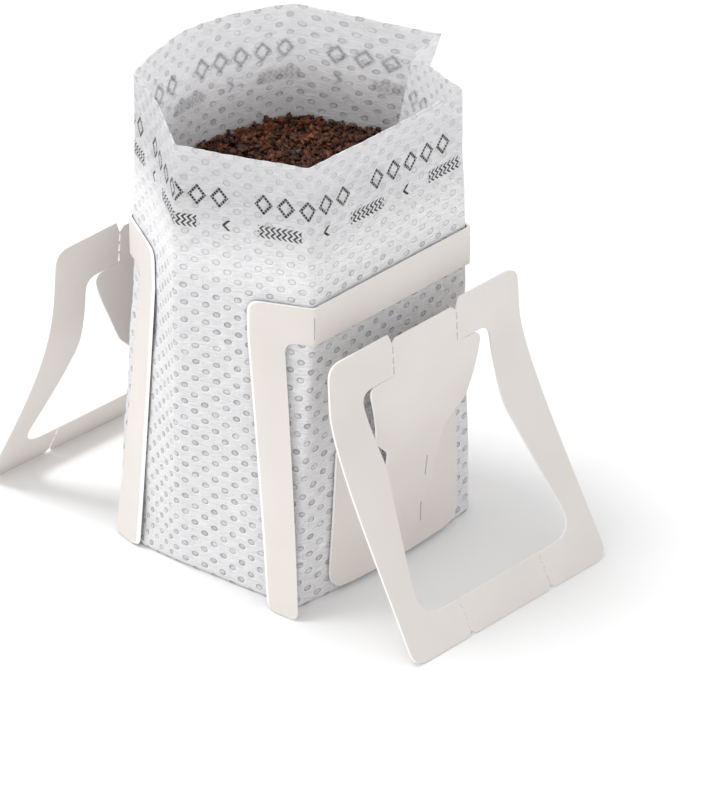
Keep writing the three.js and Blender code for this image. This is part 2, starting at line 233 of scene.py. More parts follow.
def bulgeAt(side, share, height):
    fill = clamp((beltFoot - height) / (beltFoot - bag["bulgeHeight"]))
    mouth = clamp((height - bag["cardTop"]) / (bag["rimHeight"] - bag["cardTop"]))
    bow = side["beltBow"] * clamp(height / beltFoot) + (side["rimBow"] - side["beltBow"]) * mouth
    return side["facing"] * (bag["bulge"] * fill + bow) * math.sin(math.pi * share)


def onWallSharp(side, across, height, offset):
    outline = outlineAt(height, offset)
    left, right = outline[side["left"]], outline[side["right"]]
    half = np.linalg.norm(right - left) / 2
    if abs(across) <= half:
        share = 0.5 + across / (2 * half)
        place = mix(left, right, share)
        return np.array([place[0], place[1] + bulgeAt(side, share, height)])
    start = side["left"] if across < 0 else side["right"]
    step = side["beyondLeft"] if across < 0 else side["beyondRight"]
    begin, end = outline[start], outline[(start + step) % len(outline)]
    return mix(begin, end, (abs(across) - half) / np.linalg.norm(end - begin))


def onWall(side, across, height, offset, soft=0.0):
    if not soft:
        return onWallSharp(side, across, height, offset)
    places = [onWallSharp(side, across + soft * t, height, offset) for t in (-1, -0.5, 0, 0.5, 1)]
    return (np.array(places) * np.array([1, 2, 2, 2, 1])[:, None]).sum(axis=0) / 8


# Columns of the wall: which edge, how far along it, and the length run to there
def wallColumns():
    belt = outlineAt(beltFoot, 0)
    lengths = np.linalg.norm(np.roll(belt, -1, axis=0) - belt, axis=1)
    columns = []
    run = 0.0
    for edge, length in enumerate(lengths):
        count = max(3, round(length / bag["columnStep"]))
        for k in range(count):
            columns.append((edge, k / count, run + length * k / count))
        run += length
    return columns, run


def wallPoint(edge, share, height, offset):
    outline = outlineAt(height, offset)
    nextCorner = (edge + 1) % len(outline)
    begin, end = outline[edge], outline[nextCorner]
    place = mix(begin, end, share)
    for side in (front, rear):
        if edge == min(side["left"], side["right"]):
            place = place + np.array([0.0, bulgeAt(side, share, height)])
    # the corner is eased towards the chord that cuts it
    length = np.linalg.norm(end - begin)
    for corner, distance in ((edge, share * length), (nextCorner, (1 - share) * length)):
        if distance < bag["creaseSoftness"]:
            before = outline[corner - 1]
            after = outline[(corner + 1) % len(outline)]
            inward = (before - outline[corner]) / np.linalg.norm(before - outline[corner])
            inward = inward + (after - outline[corner]) / np.linalg.norm(after - outline[corner])
            place = place + inward * bag["creaseEasing"] * (1 - distance / bag["creaseSoftness"]) ** 2
    return place


def ripple(place, height, carded):
    start, full = bag["rippleFree"]
    free = softStep(bag["cardTop"] + start, bag["cardTop"] + full, height) if carded else 1.0
    broad = wander(place[0], place[1], height, bag["rippleSize"]) * bag["ripple"]
    broad *= mix(bag["rippleUnderCards"], 1.0, free)
    fine = wander(place[0] + bag["fineRippleSeed"], place[1], height, bag["fineRippleSize"])
    fine *= bag["fineRipple"]
    return (broad + fine) * softStep(0.0, bag["settleHeight"], height)


# Quads between closed rings of so many points
def tubeFaces(count, rings):
    faces = []
    for row in range(rings - 1):
        for k in range(count):
            a = row * count + k
            b = row * count + (k + 1) % count
            faces.append((a, b, b + count, a + count))
    return faces


def buildBag():
    columns, girth = wallColumns()
    rows = int(bag["rimHeight"] / bag["rowStep"])
    heights = [bag["rimHeight"] * k / rows for k in range(rows + 1)]
    carded = (front["left"], rear["right"])
    vertices, uvs = [], []
    levels = [(z, 0.0) for z in heights] + [(z, -bag["wall"]) for z in reversed(heights)]
    for height, offset in levels:
        for edge, share, run in columns:
            place = wallPoint(edge, share, height, offset)
            outward = place - bag["middle"]
            outward /= np.linalg.norm(outward)
            move = ripple(place, height, edge in carded)
            if height < bag["footRounding"]:
                move -= (bag["footRounding"] - height) * bag["footTuck"]
            place = place + outward * move
            tear = sum(depth * wander(run, seed, 0.0, size) for depth, seed, size in bag["tear"])
            top = height + tear * softStep(bag["rimHeight"] - bag["tearReach"], bag["rimHeight"], height)
            vertices.append((place[0], place[1], top))
            uvs.append((run, height))
    count = len(columns)
    faces = tubeFaces(count, len(levels))
    faces.append(tuple(range(count))[::-1])
    thing = meshObject("filterBagWall", vertices, faces, uvs)
    outside = (len(heights) - 1) * count
    inside = len(faces) - 1 - outside
    thing.data.polygons.foreach_set("material_index", [0] * outside + [1] * inside + [0])
    # the last column's far side runs on to the whole girth
    layer = thing.data.uv_layers["flat"]
    whole = girth * uvScale
    for face in thing.data.polygons[:-1]:
        values = [layer.data[i].uv[0] for i in face.loop_indices]
        if max(values) - min(values) > whole / 2:
            for i in face.loop_indices:
                if layer.data[i].uv[0] < whole / 2:
                    layer.data[i].uv[0] += whole
    return thing


bagWall = buildBag()
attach(bagWall, "root")
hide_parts("filter_bag")
print("bag built")


# Coffee

coffee = {
    "level": 54.0,
    "clearance": 0.4,
    "roughness": 0.55,
    "mound": 1.3,
    "moundReach": 30.0,
    "moundSpread": (1.8, 1.5),
    "lump": 2.6,
    "swirl": (1.3, 0.7),  # how far the lumps wind one way, and how often
    "crossSwirl": (1.7, 0.6),
    "crossStretch": 0.9,
    "bedDrop": 0.2,  # the heap's own surface lies this far under the grains
    "wallRows": 14,
    "rings": 46,
    "grains": 9500,
    "grainSmall": 0.26,
    "grainLarge": 0.72,
    "smallShare": 2.2,  # a higher power makes more of the grains small
    "grainMargin": 0.45,
    "grainRoughness": 0.34,
    "grainStretch": (0.55, 1.2),
    "grainScatter": (-0.35, 0.45),
}


def coffeeHeight(x, y):
    lump = 2 * math.pi / coffee["lump"]
    swirl, swirlPitch = coffee["swirl"]
    crossSwirl, crossPitch = coffee["crossSwirl"]
    waves = (math.sin(x * lump + swirl * math.sin(y * lump * swirlPitch))
             * math.cos(y * lump * coffee["crossStretch"] + crossSwirl * math.cos(x * lump * crossPitch)))
    spreadAcross, spreadDeep = coffee["moundSpread"]
    mound = (math.cos(x / coffee["moundReach"] * spreadAcross)
             * math.cos(y / coffee["moundReach"] * spreadDeep))
    return coffee["level"] + coffee["roughness"] * waves + coffee["mound"] * mound


def insideOutline(point, outline):
    x, y = point
    inside = False
    for i in range(len(outline)):
        (ax, ay), (bx, by) = outline[i - 1], outline[i]
        if (ay > y) != (by > y) and x < ax + (y - ay) / (by - ay) * (bx - ax):
            inside = not inside
    return inside


def buildHeap():
    inset = bag["wall"] + coffee["clearance"]
    columns = wallColumns()[0][::2]
    heights = np.linspace(inset, coffee["level"] - coffee["roughness"], coffee["wallRows"])
    vertices = []
    for height in heights:
        for edge, share, _ in columns:
            place = wallPoint(edge, share, height, -inset)
            vertices.append((place[0], place[1], height))
    count = len(columns)
    brim = vertices[-count:]
    for ring in range(1, coffee["rings"]):
        inward = 1 - ring / coffee["rings"]
        for x, y, _ in brim:
            px, py = x * inward, y * inward
            vertices.append((px, py, coffeeHeight(px, py) - coffee["bedDrop"]))
    faces = tubeFaces(count, len(vertices) // count)
    faces.append(tuple(range(count))[::-1])
    faces.append(tuple(range(len(vertices) - count, len(vertices))))
    return meshObject("coffeeHeap", vertices, faces)


# Each grain is an icosahedron, pushed out of shape and turned
def buildGrains():
    gold = (1 + math.sqrt(5)) / 2
    corners = [(0, a, b * gold) for a in (-1, 1) for b in (-1, 1)]
    corners += [(b * gold, 0, a) for a in (-1, 1) for b in (-1, 1)]
    corners += [(a, b * gold, 0) for a in (-1, 1) for b in (-1, 1)]
    shape = np.array(corners) / math.hypot(1, gold)
    ball = bmesh.new()
    for corner in shape:
        ball.verts.new(corner)
    bmesh.ops.convex_hull(ball, input=ball.verts[:])
    ball.verts.index_update()
    sides = np.array([[v.index for v in f.verts] for f in ball.faces])
    ball.free()
    inset = bag["wall"] + coffee["grainMargin"]
    columns = wallColumns()[0][::4]
    outline = np.array([wallPoint(edge, share, coffee["level"], -inset) for edge, share, _ in columns])
    low, high = outline.min(axis=0), outline.max(axis=0)
    uneven = coffee["grainRoughness"]
    vertices, faces = [], []
    placed = 0
    while placed < coffee["grains"]:
        spot = rng.uniform(low, high)
        if not insideOutline(spot, outline):
            continue
        size = mix(coffee["grainSmall"], coffee["grainLarge"], rng.random() ** coffee["smallShare"])
        form = shape * (1 + rng.uniform(-uneven, uneven, (len(shape), 1)))
        form = form * rng.uniform(*coffee["grainStretch"], 3) * size
        turn, _ = np.linalg.qr(rng.normal(size=(3, 3)))
        form = form @ turn.T
        height = coffeeHeight(*spot) + rng.uniform(*coffee["grainScatter"])
        form = form + np.array([spot[0], spot[1], height])
        faces.extend((sides + len(vertices)).tolist())
        vertices.extend(form.tolist())
        placed += 1
    return meshObject("coffeeGrains", vertices, faces, smooth=False)


coffeeHeap = buildHeap()
coffeeGrains = buildGrains()
for thing in (coffeeHeap, coffeeGrains):
    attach(thing, "root")
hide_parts("ground_coffee")
print("coffee built")


# Cards

card = {
    "thickness": 0.35,
    "glueGap": 0.3,
    "wingReach": 25.8,
    "stripWidth": 5.2,
    "footGap": 0.15,
    "wingRadius": 2.0,
    "footRadius": 1.5,
    "innerRadius": 1.8,
    "foldSoftness": 0.5,
    "foldCuts": 3,
    "foldCutStep": 0.25,
    "foldSlit": (1.5, 5.2),
    "foldSlitOut": 0.1,
    "cutTolerance": 1e-5,
    "sharpAngle": 38,
    "acrossCuts": (-24, 24, 3),  # from, to and step
    "downCuts": (1, 50, 1.75),
}
ear = {
    "topHalf": 19.5,
    "footHalf": 20.4,
    "corner": 2.5,
    "crownDrop": 1.1,
    "hinge": 6.6,
    "shoulder": 7.1,
    "notch": 0.8,
    "openingShoulder": 13.4,
    "openingWaist": 12.2,
    "waistDrop": 19.6,
    "openingFoot": 16.5,
    "shoulderRadius": 2.3,
    "footRadius": 4.0,
    "footBar": 5.8,
    "footNotch": 8.4,
    "slitWidth": 0.3,
    "hingeSlits": (2.15, 3.9, 5.6),
    "hingeSlitLength": 1.25,
    "footSlits": (0.5, 2.2, 3.7),
    "footSlitLength": 1.2,
    "acrossCuts": (-20, 20, 4),
    "downMargin": 0.5,
    "downStep": 1.2,
}
tongue = {
    "shoulder": 11.6,
    "waist": 9.2,
    "waistDrop": 18.4,
    "step": 3.6,
    "neckTop": 6.0,
    "neckFoot": 4.5,
    "neckEndHeight": 9.4,
    "slit": 0.3,
    "hornTop": 24.7,
    "lobeTop": 21.0,
    "panelFoot": 1.0,
    "panelTop": 12.4,
    "panelBottom": 13.8,
    "hornWidth": 1.8,
    "hingeGap": 0.1,
    "shoulderDrop": 0.25,
    "shoulderRadius": 1.6,
    "neckRadius": 2.4,
    "insetRadius": 1.2,
    "hornRadius": 0.6,
    "panelRadius": 3.5,
    "neckEase": 2.4,
    "slitAcross": 3.3,
    "neckSlit": (-7.4, -3.6),  # above the neck's end
    "panelSlit": (1.0, 4.4),  # below it
    "acrossCuts": (-10, 10, 3),
    "downStep": 1.0,
    "panelAcrossCuts": (-13, 13, 2),
    "panelDownCuts": (20, 42.5, 1.5),
}
# How each ear stands: its top and foot out from the wall, their leans, and its drift sideways
frontPose = {"top": 43.9, "topOut": 5.0, "topLean": 2.4, "topBend": 7.4,
             "footOut": 22.5, "footLean": 28.0, "footBend": 16.4, "twist": 0.0,
             "shift": 1.6, "sway": 0.022, "neckSway": 0.025, "panelShift": 0.9}
rearPose = {"top": 44.6, "topOut": 4.8, "topLean": 1.0, "topBend": 10.9,
            "footOut": 17.2, "footLean": 22.6, "footBend": 17.4, "twist": -0.047,
            "shift": -5.1, "sway": -0.053, "neckSway": 0.0, "panelShift": -3.4}


# A closed line through corners, each with its radius as a third number where it is rounded
def roundedLine(corners):
    steps = 7
    points = []
    for i, corner in enumerate(corners):
        radius = corner[2] if len(corner) > 2 else 0
        here = np.array(corner[:2], dtype=float)
        before = np.array(corners[i - 1][:2]) - here
        after = np.array(corners[(i + 1) % len(corners)][:2]) - here
        lengths = np.linalg.norm(before), np.linalg.norm(after)
        before, after = before / lengths[0], after / lengths[1]
        halfTurn = math.acos(clamp(float(before @ after), -1, 1)) / 2
        cut = min(radius / math.tan(halfTurn), min(lengths) / 2.05)
        if cut <= 0:
            points.append(here)
            continue
        entry, leave = here + before * cut, here + after * cut
        for k in range(steps + 1):
            t = k / steps
            points.append((1 - t) ** 2 * entry + 2 * t * (1 - t) * here + t * t * leave)
    return points


def mirrored(half):
    return half + [(-c[0],) + tuple(c[1:]) for c in reversed(half)]


def slitBox(across, start, end):
    half = ear["slitWidth"] / 2
    return [np.array(p) for p in ((across - half, start), (across + half, start),
                                  (across + half, end), (across - half, end))]


# Fills a flat outline with holes, cuts it finely and folds it into board of even thickness
def foldedCard(outline, holes, acrossCuts, downCuts, fold):
    flat = bmesh.new()
    for loop in [outline] + holes:
        ring = [flat.verts.new((p[0], p[1], 0)) for p in loop]
        for i, vert in enumerate(ring):
            flat.edges.new((ring[i - 1], vert))
    bmesh.ops.triangle_fill(flat, edges=flat.edges[:], use_beauty=True)
    for axis, cuts in enumerate((acrossCuts, downCuts)):
        for place in cuts:
            normal = (1, 0, 0) if axis == 0 else (0, 1, 0)
            bmesh.ops.bisect_plane(flat, geom=flat.verts[:] + flat.edges[:] + flat.faces[:],
                                   dist=card["cutTolerance"],
                                   plane_co=tuple(place * c for c in normal), plane_no=normal)
    bmesh.ops.recalc_face_normals(flat, faces=flat.faces[:])
    if flat.faces[0].normal.z < 0:
        bmesh.ops.reverse_faces(flat, faces=flat.faces[:])
    flat.verts.index_update()
    places = [(v.co.x, v.co.y) for v in flat.verts]
    inner = [fold(a, d, 0.0) for a, d in places]
    outer = [fold(a, d, card["thickness"]) for a, d in places]
    count = len(places)
    faces = [tuple(v.index for v in f.verts) for f in flat.faces]
    both = faces + [tuple(i + count for i in reversed(f)) for f in faces]
    rims = []
    for edge in flat.edges:
        if len(edge.link_faces) == 1:
            loop = edge.link_loops[0]
            a, b = loop.vert.index, loop.link_loop_next.vert.index
            rims.append((b, a, a + count, b + count))
    flat.free()
    return inner + outer, both, rims, places + places


def cardObject(name, boards):
    vertices, faces, rims, uvs = [], [], [], []
    for points, both, edges, flat in boards:
        start = len(vertices)
        vertices += [tuple(p) for p in points]
        uvs += flat
        faces += [tuple(i + start for i in f) for f in both]
        rims += [tuple(i + start for i in f) for f in edges]
    thing = meshObject(name, vertices, faces + rims, uvs, sharpAngle=card["sharpAngle"])
    mesh = thing.data
    work = bmesh.new()
    work.from_mesh(mesh)
    bmesh.ops.recalc_face_normals(work, faces=work.faces[:])
    work.to_mesh(mesh)
    work.free()
    mesh.polygons.foreach_set("material_index", [0] * len(faces) + [1] * len(rims))
    return thing


def even(low, high, step):
    count = max(1, round((high - low) / step))
    return [mix(low, high, k / count) for k in range(count + 1)]


# The bar below the rim, folded round both corners, with a strip down each flank
def stiffenerCard(name, side):
    foot = bag["cardTop"] - card["footGap"]
    reach, strip = card["wingReach"], card["wingReach"] - card["stripWidth"]
    outline = roundedLine(mirrored([
        (reach, 0, card["wingRadius"]), (reach, foot, card["footRadius"]),
        (strip, foot, card["footRadius"]), (strip, bag["barHeight"], card["innerRadius"])]))
    edge = outlineAt(bag["cardTop"], card["glueGap"])
    half = np.linalg.norm(edge[side["right"]] - edge[side["left"]]) / 2
    nearFold = range(-card["foldCuts"], card["foldCuts"] + 1)
    folds = [hand * half - side["shift"] + k * card["foldCutStep"] for hand in (-1, 1) for k in nearFold]

    def fold(across, down, raised):
        height = bag["cardTop"] - down
        flare = side["flare"] * max(1 - height / beltFoot, 0) if across < 0 else 0
        place = onWall(side, across + side["shift"], height, card["glueGap"] + flare + raised,
                       card["foldSoftness"])
        return place[0], place[1], height

    slits = [slitBox(hand * (half + card["foldSlitOut"]) - side["shift"], *card["foldSlit"])
             for hand in (-1, 1)]
    return cardObject(name, [foldedCard(outline, slits, folds + even(*card["acrossCuts"]),
                                        even(*card["downCuts"]), fold)])


# A Bezier curve as a table by its run, for the ear's bend and the tongue's
def curveTable(a, b, c, d):
    samples = 400
    t = np.linspace(0, 1, samples)[:, None]
    points = (1 - t) ** 3 * a + 3 * t * (1 - t) ** 2 * b + 3 * t * t * (1 - t) * c + t ** 3 * d
    run = np.concatenate([[0], np.cumsum(np.linalg.norm(np.diff(points, axis=0), axis=1))])
    slopes = np.gradient(points, axis=0)
    slopes /= np.linalg.norm(slopes, axis=1)[:, None]
    return {"run": run / run[-1], "points": points, "slopes": slopes, "length": run[-1]}


def onCurve(table, share):
    share = clamp(share)
    place = [np.interp(share, table["run"], table["points"][:, i]) for i in (0, 1)]
    slope = [np.interp(share, table["run"], table["slopes"][:, i]) for i in (0, 1)]
    return place, slope


# Panel glued to the wall, tongue rising from it and ear hinged at the tongue's top, all one sheet
def earCard(name, side, pose):
    face = abs(onWall(side, 0, bag["cardTop"], 0)[1])
    shoulder = ear["shoulder"]
    topLean, footLean = math.radians(pose["topLean"]), math.radians(pose["footLean"])
    hinge = np.array([pose["topOut"] + shoulder * math.sin(topLean),
                      pose["top"] - shoulder * math.cos(topLean)])
    falling = np.array([math.sin(topLean), -math.cos(topLean)])
    foot = np.array([pose["footOut"], 0.0])
    rising = np.array([-math.sin(footLean), math.cos(footLean)])
    legCurve = curveTable(hinge, hinge + falling * pose["topBend"], foot + rising * pose["footBend"], foot)
    wall = abs(onWall(side, 0, tongue["neckEndHeight"], card["glueGap"])[1]) - face
    reach = (hinge[1] - tongue["neckEndHeight"]) / tongue["neckEase"]
    neckCurve = curveTable(hinge, hinge + falling * reach,
                           np.array([wall, tongue["neckEndHeight"] + reach]),
                           np.array([wall, tongue["neckEndHeight"]]))
    earFoot = shoulder + legCurve["length"]
    neckEnd = pose["top"] - tongue["neckEndHeight"]
    neckShift = pose["shift"] + pose["neckSway"] * neckEnd
    slot = neckShift - pose["panelShift"]

    def section(curve, down, share, raised):
        if down <= shoulder:
            above = shoulder - down
            return (hinge[0] - above * math.sin(topLean) + raised * math.cos(topLean),
                    hinge[1] + above * math.cos(topLean) + raised * math.sin(topLean))
        place, slope = onCurve(curve, share)
        return place[0] - raised * slope[1], place[1] + raised * slope[0]

    def framePoint(across, down, raised):
        share = (down - shoulder) / (earFoot - shoulder)
        out, height = section(legCurve, down, share, raised)
        out += pose["twist"] * across * max(share, 0) ** 2
        return across + pose["shift"] + pose["sway"] * down, side["facing"] * (face + out), max(height, 0.0)

    def tonguePoint(across, down, raised):
        share = (down - shoulder) / (neckEnd - shoulder)
        out, height = section(neckCurve, down, share, raised)
        freed = clamp(down / shoulder - 1)
        x = across + pose["shift"] + mix(pose["sway"], pose["neckSway"], freed) * down
        return x, side["facing"] * (face + out), height

    def panelPoint(across, down, raised):
        height = pose["top"] - down
        place = onWall(side, across + pose["panelShift"], height, card["glueGap"] + raised)
        return place[0], place[1], height

    frameLine = roundedLine(mirrored([
        (ear["hinge"] - ear["notch"], ear["crownDrop"]), (ear["hinge"], ear["crownDrop"] + ear["notch"]),
        (ear["hinge"] + ear["notch"], 0), (ear["topHalf"], 0, ear["corner"]),
        (ear["footHalf"], earFoot, ear["corner"]), (ear["footNotch"] + ear["notch"], earFoot),
        (ear["footNotch"], earFoot - ear["notch"]), (ear["footNotch"] - ear["notch"], earFoot)]))
    bar = earFoot - ear["footBar"]
    opening = roundedLine(mirrored([
        (ear["openingShoulder"], shoulder, ear["shoulderRadius"]),
        (ear["openingWaist"], ear["waistDrop"], ear["openingWaist"]),
        (ear["openingFoot"], bar, ear["footRadius"])]))
    slits = []
    for hand in (-1, 1):
        slits += [slitBox(hand * ear["hinge"], d, d + ear["hingeSlitLength"]) for d in ear["hingeSlits"]]
        slits += [slitBox(hand * ear["footNotch"], bar + d, bar + d + ear["footSlitLength"])
                  for d in ear["footSlits"]]
    downCuts = even(ear["downMargin"], earFoot - ear["downMargin"], ear["downStep"])
    frameBoard = foldedCard(frameLine, [opening] + slits, even(*ear["acrossCuts"]), downCuts, framePoint)

    tongueLine = roundedLine(mirrored([
        (ear["hinge"] - tongue["hingeGap"], shoulder),
        (tongue["shoulder"], shoulder + tongue["shoulderDrop"], tongue["shoulderRadius"]),
        (tongue["waist"], tongue["waistDrop"], tongue["shoulderRadius"]),
        (tongue["neckTop"], tongue["waistDrop"] + tongue["step"], tongue["neckRadius"]),
        (tongue["neckFoot"], neckEnd)]))
    neckSlit = slitBox(tongue["slitAcross"], *(neckEnd + d for d in tongue["neckSlit"]))
    downCuts = even(shoulder, neckEnd - ear["downMargin"], tongue["downStep"])
    tongueBoard = foldedCard(tongueLine, [neckSlit], even(*tongue["acrossCuts"]), downCuts, tonguePoint)

    def lobe(hand):
        top = pose["top"] - tongue["lobeTop"]
        horn = pose["top"] - tongue["hornTop"]
        inset = hand * (tongue["panelTop"] - tongue["hornWidth"])
        return [(slot + hand * (tongue["neckFoot"] + tongue["slit"]), neckEnd),
                (slot + hand * (tongue["neckTop"] + tongue["slit"]), top, tongue["neckRadius"]),
                (inset, top - tongue["hornWidth"] / 2, tongue["insetRadius"]),
                (inset, horn, tongue["hornRadius"]),
                (hand * tongue["panelTop"], horn, tongue["hornRadius"]),
                (hand * tongue["panelBottom"], pose["top"] - tongue["panelFoot"], tongue["panelRadius"])]

    panelLine = roundedLine(lobe(1) + lobe(-1)[::-1])
    panelSlit = slitBox(slot + tongue["slitAcross"], *(neckEnd + d for d in tongue["panelSlit"]))
    panelBoard = foldedCard(panelLine, [panelSlit], even(*tongue["panelAcrossCuts"]),
                            even(*tongue["panelDownCuts"]), panelPoint)
    return cardObject(name, [frameBoard, tongueBoard, panelBoard])


cards = {
    "front_stiffener_card": stiffenerCard("frontStiffener", front),
    "rear_stiffener_card": stiffenerCard("rearStiffener", rear),
    "front_ear_card": earCard("frontEar", front, frontPose),
    "rear_ear_card": earCard("rearEar", rear, rearPose),
}
for node, thing in cards.items():
    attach(thing, "root")
    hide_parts(node)
print("cards built")


# Effects shared by the materials

fibreLook = {
    "stretch": (0.35, 1.6, 1.0),
    "detail": 4.0,
    "roughness": 0.7,
    "distortion": 0.8,
}


def fibreGroup():
    group, inlet, outlet = effectGroup(
        "fibreGrain", [("Vector", "NodeSocketVector"), ("Scale", "NodeSocketFloat")],
        [("Value", "NodeSocketFloat")])
    stretch = group.nodes.new("ShaderNodeMapping")
    stretch.inputs["Scale"].default_value = fibreLook["stretch"]
    group.links.new(inlet.outputs[0], stretch.inputs["Vector"])
    fine = group.nodes.new("ShaderNodeTexNoise")
    for name in ("Detail", "Roughness", "Distortion"):
        fine.inputs[name].default_value = fibreLook[name.lower()]
    group.links.new(stretch.outputs[0], fine.inputs["Vector"])
    group.links.new(inlet.outputs[1], fine.inputs["Scale"])
    group.links.new(fine.outputs[0], outlet.inputs[0])
    return group


dotLook = {
    "pitch": (3.2, 2.95),
    "stretch": (0.88, 1.08),
    "highlightDrift": 0.16,
    "mask": (1.1, 0.9),  # where it starts and where it is whole, in radii
    "core": (0.85, 0.45),
    "lit": (1.325, 1.007),
}


# Nearest spot of a staggered lattice: its whole mask, its rim for painted shade and the crescent beside it
# for a painted highlight
def dotGroup():
    group, inlet, outlet = effectGroup(
        "bondDots",
        [("Across", "NodeSocketFloat"), ("Up", "NodeSocketFloat"), ("Radius", "NodeSocketFloat")],
        [("Mask", "NodeSocketFloat"), ("RimShade", "NodeSocketFloat"), ("PaintedHighlight", "NodeSocketFloat")])
    across, up, radius = inlet.outputs[0], inlet.outputs[1], inlet.outputs[2]
    masks = []
    for stagger in (0.0, 0.5):
        spot = []
        for value, pitch in zip((across, up), dotLook["pitch"]):
            moved = calc(group, "DIVIDE", calc(group, "ADD", value, pitch * stagger), pitch)
            part = calc(group, "SUBTRACT", moved, calc(group, "ROUND", moved))
            spot.append(calc(group, "MULTIPLY", part, pitch))
        for kind, drift in (("mask", 0.0), ("core", 0.0), ("lit", dotLook["highlightDrift"])):
            x = calc(group, "MULTIPLY", calc(group, "SUBTRACT", spot[0], drift), dotLook["stretch"][0])
            y = calc(group, "MULTIPLY", calc(group, "ADD", spot[1], drift), dotLook["stretch"][1])
            length = calc(group, "SQRT", calc(group, "ADD", calc(group, "MULTIPLY", x, x),
                                              calc(group, "MULTIPLY", y, y)))
            masks.append(ramp(group, calc(group, "DIVIDE", length, radius), *dotLook[kind]))
    mask, core, lit = [calc(group, "MAXIMUM", masks[k], masks[k + 3]) for k in range(3)]
    ring = calc(group, "MULTIPLY", mask, calc(group, "SUBTRACT", 1.0, core))
    highlightAndCloud = calc(group, "MULTIPLY", lit, calc(group, "SUBTRACT", 1.0, mask))
    for value, socket in zip((mask, ring, highlightAndCloud), outlet.inputs):
        group.links.new(value, socket)
    return group


printLook = {
    "edge": 0.06,
    "diamondDown": 7.25,
    "diamondPitch": 3.4,
    "diamondHalf": (1.4, 1.75),
    "diamondRim": 0.82,
    "diamondStroke": (0.22, 0.15),  # where a mark starts and where it is whole
    "stitchPitch": 0.66,
    "stitchStroke": (0.29, 0.2),
    "stitchGap": 0.25,
    "groupPitch": 20.4,
    "groupHalf": 8.4,
    "barDown": 11.7,
    "barPitch": 16.0,
    "barHalf": (3.3, 1.0),
    "hatchPitch": 0.85,
    "hatchStroke": (0.25, 0.12),
    "hatchTurn": 0.5,
    "hatchSlant": 1.1,
    "chevronPoint": 0.6,
    "chevronStroke": (0.3, 0.2),
    "chevronHalf": (0.75, 0.85),
    "wear": (0.3, 0.5, 0.45, 1.0),
}


# Printed marks in two bands below the rim: open diamonds, then hatched bars with chevrons between
def printGroup():
    look = printLook
    group, inlet, outlet = effectGroup(
        "printBands",
        [("Across", "NodeSocketFloat"), ("Down", "NodeSocketFloat"), ("Wear", "NodeSocketFloat")],
        [("Mask", "NodeSocketFloat")])
    across, down, wear = inlet.outputs[0], inlet.outputs[1], inlet.outputs[2]

    def op(operation, *values):
        return calc(group, operation, *values)

    def local(value, pitch, shift=0.0):
        moved = op("DIVIDE", op("ADD", value, shift), pitch)
        return op("MULTIPLY", op("SUBTRACT", moved, op("ROUND", moved)), pitch)

    def within(value, reach):
        return ramp(group, op("ABSOLUTE", value), reach + look["edge"], reach - look["edge"])

    # stitched diamonds in groups
    x = op("ABSOLUTE", local(across, look["diamondPitch"]))
    y = op("ABSOLUTE", op("SUBTRACT", down, look["diamondDown"]))
    halfWidth, halfHeight = look["diamondHalf"]
    rim = op("ADD", op("DIVIDE", x, halfWidth), op("DIVIDE", y, halfHeight))
    diamond = ramp(group, op("ABSOLUTE", op("SUBTRACT", rim, look["diamondRim"])), *look["diamondStroke"])
    stitch = op("ABSOLUTE", local(op("SUBTRACT", y, x), look["stitchPitch"]))
    diamond = op("MULTIPLY", diamond, ramp(group, stitch, *look["stitchStroke"], look["stitchGap"], 1.0))
    diamond = op("MULTIPLY", diamond, within(local(across, look["groupPitch"]), look["groupHalf"]))
    # hatched bars
    barWidth, barHeight = look["barHalf"]
    y = op("SUBTRACT", down, look["barDown"])
    turned = op("MULTIPLY", op("PINGPONG", y, look["hatchTurn"]), look["hatchSlant"])
    slant = op("ABSOLUTE", local(op("ADD", across, turned), look["hatchPitch"]))
    hatch = ramp(group, slant, *look["hatchStroke"])
    hatch = op("MULTIPLY", hatch, within(local(across, look["barPitch"]), barWidth))
    hatch = op("MULTIPLY", hatch, within(y, barHeight))
    # chevrons midway between the bars
    halfWidth, halfHeight = look["chevronHalf"]
    x = local(across, look["barPitch"], look["barPitch"] / 2)
    point = op("SUBTRACT", op("ABSOLUTE", y), op("ADD", x, look["chevronPoint"]))
    chevron = ramp(group, op("ABSOLUTE", point), *look["chevronStroke"])
    chevron = op("MULTIPLY", op("MULTIPLY", chevron, within(x, halfWidth)), within(y, halfHeight))
    marks = op("MAXIMUM", diamond, op("MAXIMUM", hatch, chevron))
    group.links.new(op("MULTIPLY", marks, ramp(group, wear, *look["wear"])), outlet.inputs[0])
    return group


fibre, dots, bands = fibreGroup(), dotGroup(), printGroup()

